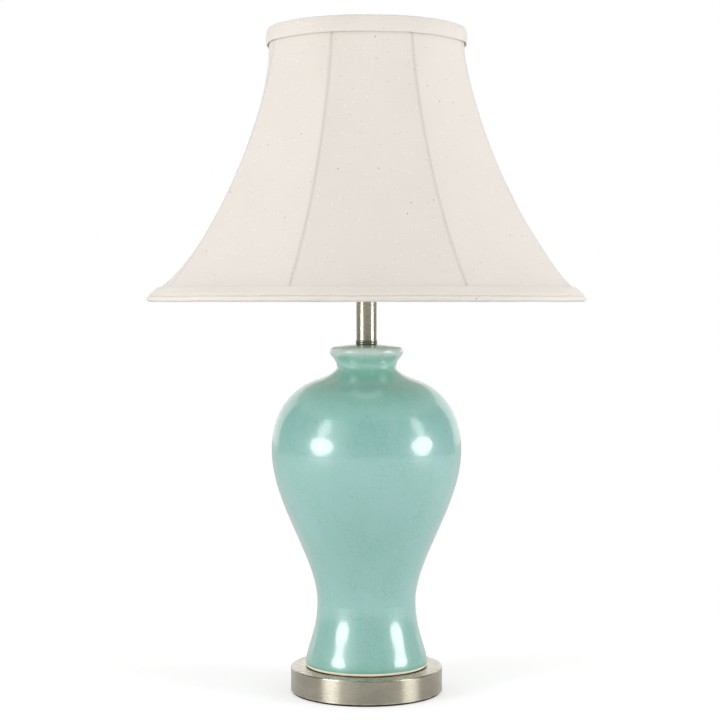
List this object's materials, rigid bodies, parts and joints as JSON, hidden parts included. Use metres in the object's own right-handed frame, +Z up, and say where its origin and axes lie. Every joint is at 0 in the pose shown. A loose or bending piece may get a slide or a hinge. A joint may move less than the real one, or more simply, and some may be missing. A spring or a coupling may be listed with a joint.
{
  "type": "table lamp",
  "caption": "Table lamp: glazed baluster jar on a round metal base, under a flared bell shade held by a wire harp with a finial.",
  "frame": {"origin": "centre of the underside of the base, on the surface that the lamp stands on", "axes": "+Z up along the lamp's axis, -Y towards the front, where the switch is; the cord inlet faces +Y"},
  "size_m": [0.4024, 0.4024, 0.6142],
  "materials": {
    "felt": "matt felt",
    "satin_nickel": "satin, warm grey",
    "brass": "satin, lacquered",
    "iron": "raw",
    "steel": "zinc plated",
    "bushing": "moulded",
    "gasket": "matt",
    "glaze": "gloss, finely crackled",
    "liner_paper": "vulcanised paper",
    "core_plastic": "moulded",
    "switch_metal": "turned",
    "switch_plastic": "moulded, fluted",
    "bulb_glass": "frosted white",
    "bulb_metal": "rolled",
    "black_glass": "gloss",
    "frame_wire": "enamelled",
    "linen": "plain weave with small slubs",
    "lining": "smooth weave",
    "trim": "folded self fabric"
  },
  "bodies": {
    "root": {"base_felt": "felt", "base_lock_washer": "steel", "base_nut": "steel", "base_pan": "satin_nickel", "base_washer": "steel", "base_weight": "iron", "cord_bushing": "bushing", "harp_saddle": "brass", "jar_body": "glaze", "jar_gasket": "gasket", "lamp_pipe": "steel", "neck_cap": "satin_nickel", "neck_collar": "satin_nickel", "neck_tube": "satin_nickel", "socket_cap": "brass", "socket_contact": "brass", "socket_core": "core_plastic", "socket_liner": "liner_paper", "socket_screw_shell": "brass", "socket_shell": "brass", "socket_terminals": "brass"},
    "switch": {"switch_stem": "switch_metal", "switch_knob": "switch_plastic"},
    "bulb": {"bulb_tip": "bulb_metal", "bulb_glass_ring": "black_glass", "bulb_cap": "bulb_metal", "bulb_globe": "bulb_glass"},
    "harp": {"harp": "brass", "harp_stud": "brass"},
    "ferrule_left": {"ferrule_left": "brass"},
    "ferrule_right": {"ferrule_right": "brass"},
    "finial": {"finial": "brass"},
    "shade": {"shade_arm_1": "frame_wire", "shade_arm_2": "frame_wire", "shade_arm_3": "frame_wire", "shade_bottom_ring": "frame_wire", "shade_bottom_trim": "trim", "shade_gore_1": "linen", "shade_gore_2": "linen", "shade_gore_3": "linen", "shade_gore_4": "linen", "shade_gore_5": "linen", "shade_gore_6": "linen", "shade_gore_7": "linen", "shade_gore_8": "linen", "shade_hub": "frame_wire", "shade_lining": "lining", "shade_rib_1": "frame_wire", "shade_rib_2": "frame_wire", "shade_rib_3": "frame_wire", "shade_rib_4": "frame_wire", "shade_rib_5": "frame_wire", "shade_rib_6": "frame_wire", "shade_rib_7": "frame_wire", "shade_rib_8": "frame_wire", "shade_top_ring": "frame_wire", "shade_top_trim": "trim"}
  },
  "joints": [
    {"name": "switch_turn", "type": "hinge", "parent": "root", "child": "switch", "pos_m": [0, -0.0251, 0.3976], "axis": [0, -1, 0], "continuous": true},
    {"name": "harp_lift", "type": "slide", "parent": "root", "child": "harp", "axis": [0, 0, 1], "range_m": [0, 0.02]},
    {"name": "ferrule_left_slide", "type": "slide", "parent": "harp", "child": "ferrule_left", "axis": [0, 0, 1], "range_m": [0, 0.009]},
    {"name": "ferrule_right_slide", "type": "slide", "parent": "harp", "child": "ferrule_right", "axis": [0, 0, 1], "range_m": [0, 0.009]},
    {"name": "shade_turn", "type": "hinge", "parent": "harp", "child": "shade", "pos_m": [0, 0, 0.5935], "axis": [0, 0, 1], "continuous": true},
    {"name": "finial_unscrew", "type": "hinge", "parent": "harp", "child": "finial", "pos_m": [0, 0, 0.6004], "axis": [0, 0, 1], "range_deg": [0, 4320]},
    {"name": "bulb_unscrew", "type": "hinge", "parent": "root", "child": "bulb", "pos_m": [0, 0, 0.4223], "axis": [0, 0, 1], "range_deg": [0, 1800]}
  ]
}
